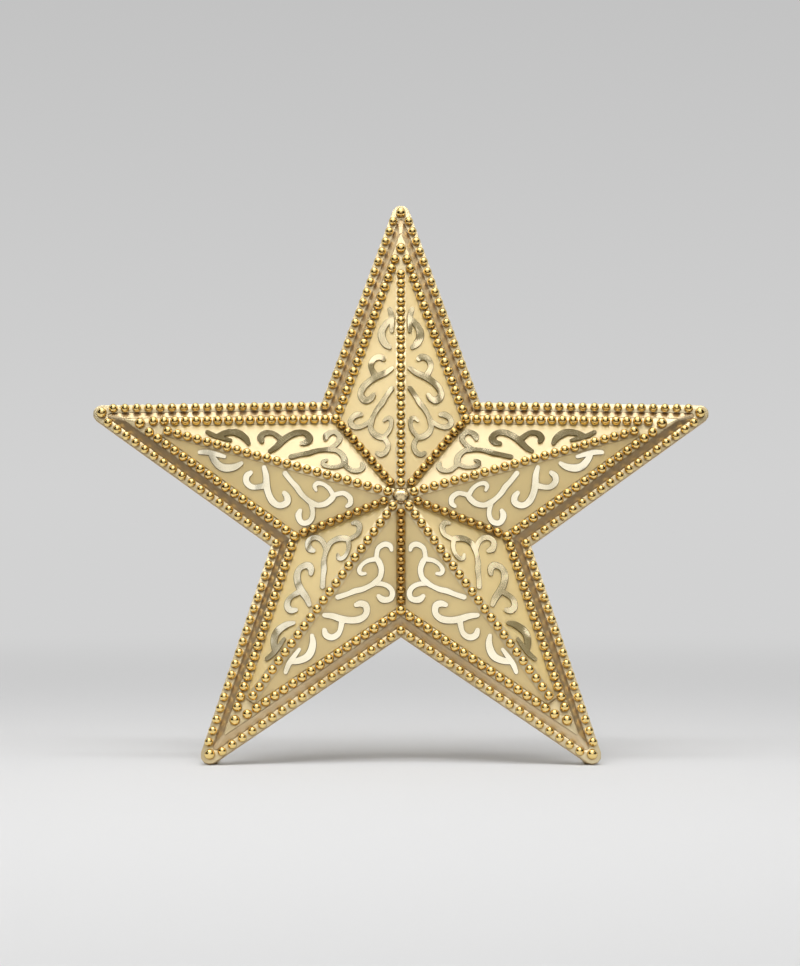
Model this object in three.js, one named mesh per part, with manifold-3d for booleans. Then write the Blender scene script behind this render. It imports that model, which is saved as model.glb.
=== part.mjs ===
// A free-standing five-pointed Christmas star, pressed from brass sheet and trimmed with rows of
// beads and scroll plates. Millimetres, +Z up. The star faces -Y and leans back on two strap feet.
// The origin is on the ground, below the middle of the whole object.
import * as THREE from 'three';
import Module from 'manifold-3d';

const wasm = await Module();
wasm.setup();

// Plan of the star, measured in the star's own plane
const armCount = 5;
const tipReach = 158.4; // centre to the rounded end of each point
const tipRadius = 4.4;
const pointHalfAngle = THREE.MathUtils.degToRad(18.8); // between a point's middle line and its edge
const rimMargin = 2.2; // outer edge to the outer bead line
const rowSpacing = 7.7; // outer bead line to the inner bead line
const leanAngle = THREE.MathUtils.degToRad(19.0); // back from upright

// Sheets and clearances
const seatGap = 0.3; // between parts that touch
const flangeThickness = 1.2;
const bevelRise = 1.65; // outer bead band up to the crest of the bevel
const channelDepth = 0.75; // crest of the bevel down to the land that carries the inner beads
const landLap = 1.9; // how far the land runs in under the arm shells
const landThickness = 1.2;
const rimFootWidth = 6.3; // flat underside of the rim, from its outer edge
const bevelFootRadius = 1.5; // rounding of the bevel's foot at each point
const crestRadius = 0.8;
const landRadius = 0.5;
const coverThickness = 1.0;
const coverInset = 1.2; // back cover inside the rim's edge
const shellThickness = 0.9;
const pyramidRise = 12.6; // edge of the arm shells up to the peak where their planes meet
const ridgeHalfWidth = 2.6; // flat top of each arm's ridge
const shellEyeReach = 2.6; // centre to the inner end of each arm shell

// Beaded trim: bands of thin strip with round beads stamped in them
const bandThickness = 0.45;
const outerBandWidth = 4.0;
const innerBandWidth = 4.1;
const ridgeBandWidth = 5.0;
const valleyBandWidth = 4.4;
const outerBeadRadius = 2.1;
const innerBeadRadius = 2.3;
const ridgeBeadRadius = 2.25;
const valleyBeadRadius = 2.25;
const tipBeadRadius = 2.6; // at the end of each point, on both bead lines
const innerCornerBeadRadius = 2.5; // where the inner bead lines of two arms meet
const beadLift = 0.5; // height of a bead's middle over its band, as a share of its radius
const cornerBeadLift = 0.62;
const valleyBeadLift = 0.35;
const beadSides = 4; // its widest ring is turned half a side from its foot, for eight directions
const padSides = 10; // of the round pad under a bead in a corner
const outerFirstPairOffset = 3.9; // off the point's middle line
const innerFirstPairOffset = 3.0;
const innerTipBeadSetback = 2.9; // from where the two inner bead lines would meet
const outerEdgeBeads = 18; // along each edge, without the tip and the corner
const innerEdgeBeads = 17;
const ridgeBeads = 23;
const ridgeFirstBead = 6.5; // from the centre
const ridgeBandStart = 4.2;
const ridgeEndMargin = 0.3; // last ridge bead to the end of its band
const valleyFirstBead = 8.5;
const valleyBandStart = 6.2;

// Peak cap
const capApothem = 3.8;
const capEdgeHeight = 0.7;
const capPeakHeight = 1.7;

// Scroll plates on the sloping faces
const scrollThickness = 0.55;
const strokeEndShare = 1 / 3; // how far a free end stands out, as a share of the stroke's width there

// Rear feet: a bent strap behind each lower point
const footWidth = 5.0;
const footThickness = 1.6;
const footTabLength = 9.5;
const footReach = 56.0; // from the tab to the rear end
const footInset = 0.9; // foot's middle nearer the star's middle than the tip bead before it
const footBendRadius = 2.4; // outside of the bend

// Worked out from the sizes above
const halfSpacing = Math.PI / armCount; // between a point's middle line and the next valley
const edgeSin = Math.sin(pointHalfAngle);
const edgeCos = Math.cos(pointHalfAngle);
const edgeDistance = tipRadius + (tipReach - tipRadius) * edgeSin; // centre square to the rim's edge
const outerRow = edgeDistance - rimMargin;
const innerRow = outerRow - rowSpacing;
const bevelFoot = outerRow - outerBandWidth / 2 - seatGap;
const crest = innerRow + innerBandWidth / 2 + seatGap;
const shellEdge = innerRow - innerBandWidth / 2 - seatGap;
const landEdge = shellEdge - landLap;
const outerBandTop = flangeThickness + seatGap + bandThickness;
const crestHeight = outerBandTop + bevelRise;
const landHeight = crestHeight - channelDepth;
const innerBandTop = landHeight + seatGap + bandThickness;
const facetSlope = pyramidRise / shellEdge;
const steepness = Math.hypot(1, facetSlope); // vertical thickness of a sloping sheet, per thickness
const shellEdgeHeight = landHeight + seatGap + shellThickness * steepness;
const facetPeak = shellEdgeHeight + pyramidRise;
const shellEnd = (shellEdge - edgeCos * ridgeHalfWidth) / edgeSin;
const tipBeadReach = tipReach - tipRadius;

// Height of a sloping face at a place in an arm's own frame: along its middle line, and off it.
function facetHeight(along, off) {
  return facetPeak - facetSlope * (along * edgeSin + Math.abs(off) * edgeCos);
}

function ridgeHeight(along) {
  return facetHeight(along, ridgeHalfWidth);
}

// Where the line at a distance from the centre meets the valley beside the arm, short of it by a gap.
function valleyPoint(distance, gap) {
  const s = Math.sin(halfSpacing);
  const c = Math.cos(halfSpacing);
  const scale = edgeSin * c + s * edgeCos;
  return new THREE.Vector2((distance * c + gap * edgeCos) / scale, (distance * s - gap * edgeSin) / scale);
}

// One rounded point of a star outline in the arm's own frame, from its right side to its left side.
function pointArc(distance, radius, steps) {
  const middle = (distance - radius) / edgeSin;
  const sweep = Math.PI / 2 - pointHalfAngle;
  const points = [];
  for (let i = 0; i <= steps; i++) {
    const angle = sweep * ((2 * i) / steps - 1);
    points.push(new THREE.Vector2(middle + radius * Math.cos(angle), radius * Math.sin(angle)));
  }
  return points;
}

const arcSteps = 4;
const innerArcSteps = 2;

// A whole star outline, counter-clockwise, at a distance from the centre square to its edges.
function starOutline(distance, radius) {
  const points = [];
  for (let arm = 0; arm < armCount; arm++) {
    const angle = Math.PI / 2 + 2 * halfSpacing * arm;
    const origin = new THREE.Vector2();
    const armPoints = [...pointArc(distance, radius, arcSteps), valleyPoint(distance, 0)];
    armPoints.forEach((p) => points.push(p.rotateAround(origin, angle)));
  }
  return points;
}

function geometryOf(positions, index) {
  const geometry = new THREE.BufferGeometry();
  geometry.setAttribute('position', new THREE.Float32BufferAttribute(positions, 3));
  geometry.setIndex(index);
  geometry.computeVertexNormals();
  return geometry;
}

// A sheet with a plan outline, and its underside and top at heights that depend on the place.
function sheet(outline, under, over) {
  const points = THREE.ShapeUtils.isClockWise(outline) ? [...outline].reverse() : outline;
  const n = points.length;
  const positions = [];
  points.forEach((p) => positions.push(p.x, p.y, under(p)));
  points.forEach((p) => positions.push(p.x, p.y, over(p)));
  const index = [];
  for (const [a, b, c] of THREE.ShapeUtils.triangulateShape(points, [])) {
    index.push(a, c, b, a + n, b + n, c + n);
  }
  for (let i = 0; i < n; i++) {
    const j = (i + 1) % n;
    index.push(i, j, j + n, i, j + n, i + n);
  }
  return geometryOf(positions, index);
}

// A closed ring that sweeps a profile of loops round the star. Each loop holds as many points.
function ringOf(loops, heights) {
  const n = loops[0].length;
  const positions = [];
  loops.forEach((loop, i) => loop.forEach((p) => positions.push(p.x, p.y, heights[i])));
  const index = [];
  for (let i = 0; i < loops.length; i++) {
    const next = (i + 1) % loops.length;
    for (let j = 0; j < n; j++) {
      const k = (j + 1) % n;
      index.push(i * n + j, i * n + k, next * n + k);
      index.push(i * n + j, next * n + k, next * n + j);
    }
  }
  return geometryOf(positions, index);
}

// A turned solid with flat facets: rings of [radius, height] from its flat foot up to its point. Each
// ring may be turned by a share of a side from the ring below it.
function turned(rings, sides, phase, twist, x, y) {
  const positions = [];
  const peak = rings[rings.length - 1];
  const around = rings.slice(0, -1);
  around.forEach(([radius, height], ring) => {
    for (let i = 0; i < sides; i++) {
      const angle = phase + (2 * Math.PI * (i + twist * ring)) / sides;
      positions.push(x + radius * Math.cos(angle), y + radius * Math.sin(angle), height);
    }
  });
  positions.push(x, y, peak[1]);
  const index = [];
  for (let i = 1; i < sides - 1; i++) index.push(0, i + 1, i);
  for (let ring = 0; ring < around.length; ring++) {
    for (let i = 0; i < sides; i++) {
      const a = ring * sides + i;
      const b = ring * sides + ((i + 1) % sides);
      if (ring === around.length - 1) {
        index.push(a, b, around.length * sides);
      } else {
        index.push(a, b, b + sides, a, b + sides, a + sides);
      }
    }
  }
  return geometryOf(positions, index);
}

function toSolid(geometry) {
  const vertProperties = new Float32Array(geometry.attributes.position.array);
  const triVerts = new Uint32Array(geometry.index.array);
  return new wasm.Manifold(new wasm.Mesh({ numProp: 3, vertProperties, triVerts }));
}

function toGeometry(solid) {
  const mesh = solid.getMesh();
  return geometryOf(Array.from(mesh.vertProperties), Array.from(mesh.triVerts));
}

function flat(height) {
  return () => height;
}

// Finishes, as the object shows them
const satinGold = { color: 0xcfb98a, roughness: 0.42, metalness: 0.85 };
const beadGold = { color: 0xc79a3c, roughness: 0.18, metalness: 1.0 };
const paleScroll = { color: 0xe9e4cf, roughness: 0.2, metalness: 0.6 };
const footBrass = { color: 0xb79a5c, roughness: 0.5, metalness: 0.9 };

function part(name, geometry, finish) {
  const mesh = new THREE.Mesh(geometry, new THREE.MeshStandardMaterial({ ...finish, flatShading: true }));
  mesh.name = name;
  return mesh;
}

const star = new THREE.Group();

// The rim: one pressed ring with a flat flange, a bevel and a land for the inner beads and the arms.
function rimFrame() {
  const loops = [
    starOutline(edgeDistance, tipRadius),
    starOutline(edgeDistance, tipRadius),
    starOutline(bevelFoot, bevelFootRadius),
    starOutline(bevelFoot, bevelFootRadius),
    starOutline(crest, crestRadius),
    starOutline(crest, crestRadius),
    starOutline(landEdge, landRadius),
    starOutline(landEdge, landRadius),
    starOutline(edgeDistance - rimFootWidth, crestRadius),
    starOutline(edgeDistance - rimFootWidth, crestRadius),
  ];
  const landUnderside = landHeight - landThickness;
  const heights = [
    0, flangeThickness, flangeThickness, outerBandTop, crestHeight, landHeight,
    landHeight, landUnderside, landUnderside, 0,
  ];
  return ringOf(loops, heights);
}
star.add(part('rim_frame', rimFrame(), satinGold));

// The back cover: a flat sheet that closes the star behind.
const coverBack = -seatGap - coverThickness;
const coverOutline = starOutline(edgeDistance - coverInset, tipRadius - coverInset);
star.add(part('back_cover', sheet(coverOutline, flat(coverBack), flat(-seatGap)), satinGold));

// An arm shell: a sheet folded along a flat-topped ridge, with a sloping face on either side.
function armShell() {
  const eyeHalf = (shellEyeReach * Math.sin(halfSpacing) - seatGap / 2) / Math.cos(halfSpacing);
  const s = Math.sin(halfSpacing);
  const ridgeStart = (ridgeHalfWidth * Math.cos(halfSpacing) + seatGap / 2) / s;
  const corner = valleyPoint(shellEdge, seatGap / 2);
  const right = [
    [shellEyeReach, -eyeHalf],
    [ridgeStart, -ridgeHalfWidth],
    [corner.x, -corner.y],
    [shellEnd, -ridgeHalfWidth],
  ];
  const left = right.map(([along, off]) => [along, -off]).reverse();
  const plan = [...right, ...left];
  const top = plan.map(([along, off]) => {
    return Math.abs(off) > ridgeHalfWidth ? facetHeight(along, off) : ridgeHeight(along);
  });
  const positions = [];
  const wall = shellThickness * steepness;
  plan.forEach(([along, off], i) => positions.push(along, off, top[i] - wall));
  plan.forEach(([along, off], i) => positions.push(along, off, top[i]));
  const n = plan.length;
  const faces = [[1, 2, 3], [4, 5, 6], [0, 1, 7], [1, 6, 7], [1, 3, 6], [3, 4, 6]];
  const index = [];
  for (const [a, b, c] of faces) index.push(a, c, b, a + n, b + n, c + n);
  for (let i = 0; i < n; i++) {
    const j = (i + 1) % n;
    index.push(i, j, j + n, i, j + n, i + n);
  }
  return geometryOf(positions, index);
}

// A bead: a small faceted stand-in for a round one, with its foot on the band.
function bead(x, y, radius, lift, bandTop) {
  const middle = bandTop + lift * radius;
  const foot = radius * Math.sqrt(1 - lift * lift);
  const rings = [[foot, bandTop], [radius, middle], [0, middle + radius]];
  return toSolid(turned(rings, beadSides, 0, 0.5, x, y));
}

// Bead places along one edge of a point, from the first pair to just before the corner.
function edgePlaces(distance, count, firstPairOffset) {
  const tip = distance / edgeSin;
  const first = firstPairOffset / edgeSin;
  const corner = valleyPoint(distance, 0);
  const pitch = (Math.hypot(tip - corner.x, corner.y) - first) / count;
  const places = [];
  for (let i = 0; i < count; i++) {
    const run = first + pitch * i;
    places.push(new THREE.Vector2(tip - run * edgeCos, run * edgeSin));
  }
  return places;
}

// A V-shaped beaded strip round one point. It carries the bead of the corner on its left, and the
// strip beside it is cut away round that bead's pad.
function pointStrip(outline, row, bandTop, bandWidth, { places, beadRadius, cornerRadius, tipBead }) {
  let solid = toSolid(sheet(outline, flat(bandTop - bandThickness), flat(bandTop)));
  const corner = valleyPoint(row, 0);
  const padRadius = bandWidth / 2;
  const pad = (radius, side) => {
    const plan = [];
    for (let i = 0; i < padSides; i++) {
      const angle = (2 * Math.PI * i) / padSides;
      const x = corner.x + radius * Math.cos(angle);
      const y = side * corner.y + radius * Math.sin(angle);
      plan.push(new THREE.Vector2(x, y));
    }
    return plan;
  };
  const cutRadius = padRadius / Math.sin(pointHalfAngle + halfSpacing) + seatGap;
  const hole = sheet(pad(cutRadius, -1), flat(bandTop - 2 * bandThickness), flat(bandTop + bandThickness));
  solid = solid.subtract(toSolid(hole));
  solid = solid.add(toSolid(sheet(pad(padRadius, 1), flat(bandTop - bandThickness), flat(bandTop))));
  solid = solid.add(bead(corner.x, corner.y, cornerRadius, cornerBeadLift, bandTop));
  solid = solid.add(bead(tipBead, 0, tipBeadRadius, beadLift, bandTop));
  for (const place of places) {
    solid = solid.add(bead(place.x, place.y, beadRadius, beadLift, bandTop));
    solid = solid.add(bead(place.x, -place.y, beadRadius, beadLift, bandTop));
  }
  return toGeometry(solid);
}

function outerStrip() {
  const out = outerRow + outerBandWidth / 2;
  const back = outerRow - outerBandWidth / 2;
  const a = valleyPoint(out, seatGap / 2);
  const b = valleyPoint(back, seatGap / 2);
  const mirrored = (p) => new THREE.Vector2(p.x, -p.y);
  const outer = [mirrored(a), ...pointArc(out, tipRadius - (edgeDistance - out), arcSteps), a];
  const inner = [b, ...pointArc(back, bevelFootRadius + seatGap, arcSteps).reverse(), mirrored(b)];
  return pointStrip([...outer, ...inner], outerRow, outerBandTop, outerBandWidth, {
    places: edgePlaces(outerRow, outerEdgeBeads, outerFirstPairOffset),
    beadRadius: outerBeadRadius,
    cornerRadius: outerBeadRadius,
    tipBead: tipBeadReach,
  });
}

function innerStrip() {
  const out = innerRow + innerBandWidth / 2;
  const back = innerRow - innerBandWidth / 2;
  const a = valleyPoint(out, seatGap / 2);
  const b = valleyPoint(back, seatGap / 2);
  const mirrored = (p) => new THREE.Vector2(p.x, -p.y);
  const gusset = shellEnd + seatGap;
  const gussetHalf = (back - gusset * edgeSin) / edgeCos;
  const outer = [mirrored(a), ...pointArc(out, crestRadius - seatGap, innerArcSteps), a];
  const inner = [
    b, new THREE.Vector2(gusset, gussetHalf), new THREE.Vector2(gusset, -gussetHalf), mirrored(b),
  ];
  return pointStrip([...outer, ...inner], innerRow, innerBandTop, innerBandWidth, {
    places: edgePlaces(innerRow, innerEdgeBeads, innerFirstPairOffset),
    beadRadius: innerBeadRadius,
    cornerRadius: innerCornerBeadRadius,
    tipBead: innerRow / edgeSin - innerTipBeadSetback,
  });
}

// A straight beaded strip that runs down a slope, made level and then sheared to lie along it. Its
// outline is given by its places along the slope, each with the half width there.
function slopedStrip(stations, first, last, count, beadRadius, lift, heightAt) {
  const right = stations.map(([along, half]) => new THREE.Vector2(along, -half));
  const left = stations.map(([along, half]) => new THREE.Vector2(along, half)).reverse();
  const outline = [...right, ...left];
  let solid = toSolid(sheet(outline, flat(0), flat(bandThickness)));
  for (let i = 0; i < count; i++) {
    const along = first + ((last - first) * i) / (count - 1);
    solid = solid.add(bead(along, 0, beadRadius, lift, bandThickness));
  }
  const geometry = toGeometry(solid);
  const place = geometry.attributes.position;
  for (let i = 0; i < place.count; i++) {
    place.setZ(i, place.getZ(i) + heightAt(place.getX(i)));
  }
  geometry.computeVertexNormals();
  return geometry;
}

function ridgeStrip() {
  const last = shellEnd - ridgeEndMargin - ridgeBeadRadius;
  const under = (along) => ridgeHeight(along) + seatGap;
  const stations = [[ridgeBandStart, ridgeBandWidth / 2], [shellEnd, ridgeBandWidth / 2]];
  return slopedStrip(stations, ridgeFirstBead, last, ridgeBeads, ridgeBeadRadius, beadLift, under);
}

// The valley strip lies across the groove between two arms, on the faces at either side.
function valleyStrip(count) {
  const end = (innerRow - innerBandWidth / 2) / Math.sin(pointHalfAngle + halfSpacing) - seatGap;
  const across = facetSlope * Math.cos(pointHalfAngle + halfSpacing) * (valleyBandWidth / 2);
  const groove = (along) => facetPeak - facetSlope * along * Math.sin(pointHalfAngle + halfSpacing);
  const under = (along) => groove(along) + across + seatGap;
  const half = valleyBandWidth / 2;
  const clearOfRidge = ridgeBandWidth / 2 + seatGap;
  const startHalf = (valleyBandStart * Math.sin(halfSpacing) - clearOfRidge) / Math.cos(halfSpacing);
  const fullFrom = (half * Math.cos(halfSpacing) + clearOfRidge) / Math.sin(halfSpacing);
  const stations = [[valleyBandStart, startHalf], [fullFrom, half], [end, half]];
  const last = end - valleyBeadRadius;
  return slopedStrip(stations, valleyFirstBead, last, count, valleyBeadRadius, valleyBeadLift, under);
}

// A scroll's strokes, each a middle line of [along the arm, off the ridge's edge, width], with its steps.
// They are drawn in hundredths of the arm shell's length, so that they fill its sloping faces at any
// size. A joined stroke starts inside another one.
const scrollUnit = shellEnd / 100;
const smallScroll = [
  { steps: 2, line: [[82.78, 2.43, 1.79], [80.02, 1.70, 2.19], [76.94, 1.54, 2.11], [72.72, 1.54, 1.54]] },
  {
    steps: 4,
    joined: true,
    line: [
      [78.40, 1.79, 2.11], [76.29, 3.81, 2.68], [73.21, 5.52, 3.00], [70.28, 5.52, 3.17],
      [67.28, 4.22, 2.76], [65.41, 2.43, 1.87],
    ],
  },
];
const middleScroll = [
  {
    steps: 6,
    line: [
      [55.92, 1.62, 1.95], [54.21, 4.30, 2.60], [52.92, 7.63, 2.92], [51.21, 10.55, 2.76],
      [48.94, 12.90, 2.84], [46.42, 13.96, 2.52], [44.39, 13.55, 2.68], [42.85, 11.93, 2.92],
      [43.50, 9.98, 2.68], [44.96, 8.93, 2.03],
    ],
  },
  {
    steps: 4,
    joined: true,
    line: [
      [53.40, 8.12, 2.60], [56.73, 9.66, 2.11], [59.00, 9.82, 2.35], [61.11, 8.60, 2.60],
      [61.68, 6.49, 2.76], [60.71, 5.03, 2.19],
    ],
  },
];
const largeScroll = [
  {
    steps: 7,
    line: [
      [47.07, 1.62, 2.19], [43.66, 3.90, 2.03], [40.99, 5.44, 2.35], [38.79, 7.22, 2.19],
      [35.87, 8.77, 1.95], [33.11, 9.74, 2.43], [30.52, 9.90, 2.19], [27.76, 8.52, 2.43],
      [26.13, 6.17, 2.60], [25.65, 4.54, 2.11],
    ],
  },
  {
    steps: 4,
    joined: true,
    line: [
      [25.81, 4.87, 2.11], [28.32, 2.68, 1.79], [31.08, 1.70, 1.62], [33.44, 1.95, 1.95],
      [34.17, 3.25, 1.87], [33.19, 4.54, 1.30],
    ],
  },
  {
    steps: 4,
    joined: true,
    line: [
      [26.13, 5.03, 2.11], [24.10, 3.65, 1.95], [21.83, 2.92, 2.03], [19.23, 3.98, 2.27],
      [18.42, 5.92, 2.27], [19.23, 7.22, 1.70],
    ],
  },
  {
    steps: 5,
    joined: true,
    line: [
      [33.60, 9.90, 2.11], [31.90, 12.66, 2.03], [31.41, 15.18, 2.19], [32.22, 17.12, 2.35],
      [34.17, 18.02, 2.27], [35.87, 17.21, 2.43], [36.93, 15.50, 2.76], [36.85, 13.96, 2.03],
    ],
  },
];

// The outline of one stroke, with blunt ends where they are free.
function strokeOutline({ steps, joined, line }) {
  const knots = line.map(([along, off, width]) => {
    return new THREE.Vector3(along, off, width).multiplyScalar(scrollUnit);
  });
  const curve = new THREE.CatmullRomCurve3(knots);
  const left = [];
  const right = [];
  for (let i = 0; i <= steps; i++) {
    const p = curve.getPoint(i / steps);
    const t = curve.getTangent(i / steps);
    const direction = new THREE.Vector2(t.x, t.y).normalize();
    const side = new THREE.Vector2(-direction.y, direction.x);
    const middle = new THREE.Vector2(p.x, ridgeHalfWidth + p.y);
    left.push(middle.clone().addScaledVector(side, p.z / 2));
    right.push(middle.clone().addScaledVector(side, -p.z / 2));
    const reach = p.z * strokeEndShare;
    if (i === 0 && !joined) right.unshift(middle.clone().addScaledVector(direction, -reach));
    if (i === steps) right.push(middle.clone().addScaledVector(direction, reach));
  }
  return [...right, ...left.reverse()];
}

// A scroll plate for one side of an arm: its strokes are joined flat, then laid on the sloping face.
function scrollPlate(strokes, side) {
  let solid;
  for (const stroke of strokes) {
    const piece = toSolid(sheet(strokeOutline(stroke), flat(0), flat(scrollThickness)));
    solid = solid ? solid.add(piece) : piece;
  }
  const geometry = toGeometry(solid);
  const place = geometry.attributes.position;
  for (let i = 0; i < place.count; i++) {
    const along = place.getX(i);
    const off = place.getY(i);
    const height = facetHeight(along, off) + (seatGap + place.getZ(i)) * steepness;
    place.setXYZ(i, along, side * off, height);
  }
  if (side < 0) geometry.setIndex(Array.from(geometry.index.array).reverse());
  geometry.computeVertexNormals();
  return geometry;
}

// The five arms, each in its own group, turned about the star's centre
const armNames = ['top', 'left', 'lower_left', 'lower_right', 'right'];
const sides = { left: 1, right: -1 };
const scrolls = { small: smallScroll, middle: middleScroll, large: largeScroll };
armNames.forEach((armName, i) => {
  const arm = new THREE.Group();
  arm.rotation.z = Math.PI / 2 + 2 * halfSpacing * i;
  arm.add(part(`arm_shell_${armName}`, armShell(), satinGold));
  arm.add(part(`outer_bead_strip_${armName}`, outerStrip(), beadGold));
  arm.add(part(`inner_bead_strip_${armName}`, innerStrip(), beadGold));
  arm.add(part(`ridge_bead_strip_${armName}`, ridgeStrip(), beadGold));
  for (const [sideName, side] of Object.entries(sides)) {
    for (const [size, strokes] of Object.entries(scrolls)) {
      arm.add(part(`scroll_${size}_${armName}_${sideName}`, scrollPlate(strokes, side), paleScroll));
    }
  }
  star.add(arm);
});

// The five valleys, each with the number of beads that it holds
const valleys = [
  ['upper_left', 9], ['lower_left', 10], ['bottom', 10], ['lower_right', 10], ['upper_right', 9],
];
valleys.forEach(([valleyName, count], i) => {
  const valley = new THREE.Group();
  valley.rotation.z = Math.PI / 2 + halfSpacing * (2 * i + 1);
  valley.add(part(`valley_bead_strip_${valleyName}`, valleyStrip(count), beadGold));
  star.add(valley);
});

// The peak cap: a small five-sided pyramid over the inner ends of the arm shells.
const capUnder = ridgeHeight(shellEyeReach) + seatGap;
const capRings = [
  [capApothem / Math.cos(halfSpacing), capUnder],
  [capApothem / Math.cos(halfSpacing), capUnder + capEdgeHeight],
  [0, capUnder + capPeakHeight],
];
star.add(part('apex_cap', turned(capRings, armCount, Math.PI / 2 + halfSpacing, 0, 0, 0), paleScroll));

// The star leans back from upright
star.rotation.x = Math.PI / 2 - leanAngle;
const object = new THREE.Group();
object.add(star);
const ground = new THREE.Box3().setFromObject(star, true).min.z;

// A point of the leaning star's middle plane, as [rearward, up], from a place in the star's own frame.
function leaning(upStar, frontStar) {
  const s = Math.sin(leanAngle);
  const c = Math.cos(leanAngle);
  return new THREE.Vector2(upStar * s - frontStar * c, upStar * c + frontStar * s);
}

// A rear foot: a strap with a tab up the back cover, a bend, and a leg that lies on the ground.
function rearFoot() {
  const front = coverBack - seatGap;
  const rear = front - footThickness;
  const onGround = (depth) => (ground - depth * Math.sin(leanAngle)) / Math.cos(leanAngle);
  const start = onGround(front);
  const heel = leaning(start, front);
  const tabTop = start + footTabLength;
  const legTop = (ground + footThickness - rear * Math.sin(leanAngle)) / Math.cos(leanAngle);
  const inside = leaning(legTop, rear);
  const along = new THREE.Vector2(Math.sin(leanAngle), Math.cos(leanAngle));
  const bendTurn = Math.PI / 2 + leanAngle;
  const tangent = footBendRadius * Math.tan(bendTurn / 2);
  const outline = [heel.clone().addScaledVector(along, tangent)];
  outline.push(leaning(tabTop, front), leaning(tabTop, rear), inside);
  outline.push(new THREE.Vector2(heel.x + footReach, ground + footThickness));
  outline.push(new THREE.Vector2(heel.x + footReach, ground));
  const centre = new THREE.Vector2(heel.x + tangent, ground + footBendRadius);
  const bendSteps = 5;
  for (let i = 0; i < bendSteps; i++) {
    const angle = -Math.PI / 2 - (bendTurn * i) / bendSteps;
    outline.push(new THREE.Vector2(centre.x + footBendRadius * Math.cos(angle),
      centre.y + footBendRadius * Math.sin(angle)));
  }
  const shape = new THREE.Shape(outline);
  const geometry = new THREE.ExtrudeGeometry(shape, { depth: footWidth, bevelEnabled: false });
  geometry.translate(0, 0, -footWidth / 2);
  geometry.rotateX(Math.PI / 2);
  geometry.rotateZ(Math.PI / 2);
  return geometry;
}
const footOffset = tipBeadReach * Math.sin(halfSpacing) - footInset;
for (const [sideName, side] of Object.entries({ left: -1, right: 1 })) {
  const foot = part(`rear_foot_${sideName}`, rearFoot(), footBrass);
  foot.position.x = side * footOffset;
  object.add(foot);
}

// Move the origin to the ground, below the middle of the whole object
const bounds = new THREE.Box3().setFromObject(object, true);
const middle = bounds.getCenter(new THREE.Vector3());
object.position.set(-middle.x, -middle.y, -bounds.min.z);

export default object;
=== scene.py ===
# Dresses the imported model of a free-standing beaded Christmas star. Metres, +Z up; the star faces -Y and
# leans back on two strap feet.
import math

import bpy
from mathutils import Matrix, Vector
from mathutils.geometry import interpolate_bezier


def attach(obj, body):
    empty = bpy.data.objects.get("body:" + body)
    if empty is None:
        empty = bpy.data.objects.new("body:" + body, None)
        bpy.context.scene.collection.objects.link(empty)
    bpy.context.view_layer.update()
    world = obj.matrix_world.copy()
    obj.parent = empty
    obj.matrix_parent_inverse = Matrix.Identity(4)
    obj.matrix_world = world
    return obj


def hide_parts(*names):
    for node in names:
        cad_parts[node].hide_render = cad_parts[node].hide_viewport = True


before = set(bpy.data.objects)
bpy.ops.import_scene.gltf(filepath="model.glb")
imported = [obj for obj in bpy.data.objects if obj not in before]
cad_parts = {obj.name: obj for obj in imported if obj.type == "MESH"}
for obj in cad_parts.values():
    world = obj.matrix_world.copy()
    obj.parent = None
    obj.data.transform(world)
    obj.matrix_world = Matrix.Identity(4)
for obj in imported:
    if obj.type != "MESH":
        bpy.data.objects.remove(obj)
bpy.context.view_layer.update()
bpy.ops.object.select_all(action="DESELECT")


# Rim frame: one ring of brass sheet, pressed with a flange, a bevel and an inner land, then given a satin
# lacquer. It carries both edge rows of beads. The CAD shape is right, so it only gets its metal.
def add_group(name, inputs, outputs):
    group = bpy.data.node_groups.new(name, "ShaderNodeTree")
    for socket_name, socket_type, value in inputs:
        socket = group.interface.new_socket(socket_name, in_out="INPUT", socket_type=socket_type)
        socket.default_value = value
    for socket_name, socket_type in outputs:
        group.interface.new_socket(socket_name, in_out="OUTPUT", socket_type=socket_type)
    return group, group.nodes.new("NodeGroupInput"), group.nodes.new("NodeGroupOutput")


def add_node(tree, kind, links, **settings):
    node = tree.nodes.new(kind)
    for key, value in settings.items():
        setattr(node, key, value)
    for socket_name, source in links.items():
        if isinstance(source, bpy.types.NodeSocket):
            tree.links.new(source, node.inputs[socket_name])
        else:
            node.inputs[socket_name].default_value = source
    return node


def mixed_color(tree, factor, first, second):
    mix = tree.nodes.new("ShaderNodeMix")
    mix.data_type = "RGBA"
    tree.links.new(factor, mix.inputs["Factor"])
    tree.links.new(first, mix.inputs[6])
    tree.links.new(second, mix.inputs[7])
    return mix.outputs[2]


# Lacquered metal is never quite even: broad clouds in its colour and gloss, and a fine brushed grain.
lacquer, lacquer_in, lacquer_out = add_group(
    "lacquer_clouds",
    [
        ("Light", "NodeSocketColor", (0.8, 0.7, 0.4, 1)),
        ("Dark", "NodeSocketColor", (0.6, 0.5, 0.3, 1)),
        ("Cloud Scale", "NodeSocketFloat", 30.0),
        ("Gloss", "NodeSocketFloat", 0.3),
        ("Gloss Spread", "NodeSocketFloat", 0.1),
    ],
    [
        ("Color", "NodeSocketColor"),
        ("Roughness", "NodeSocketFloat"),
        ("Grain", "NodeSocketFloat"),
        ("Waves", "NodeSocketFloat"),
    ],
)
metal_place = add_node(lacquer, "ShaderNodeTexCoord", {})
clouds = add_node(lacquer, "ShaderNodeTexNoise", {
    "Vector": metal_place.outputs["Object"],
    "Scale": lacquer_in.outputs["Cloud Scale"],
    "Detail": 3.0,
})
cloud_mask = add_node(lacquer, "ShaderNodeMapRange", {
    "Value": clouds.outputs["Fac"],
    "From Min": 0.35,
    "From Max": 0.65,
})
cloud_color = mixed_color(lacquer, cloud_mask.outputs["Result"], lacquer_in.outputs["Dark"],
    lacquer_in.outputs["Light"])
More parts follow.
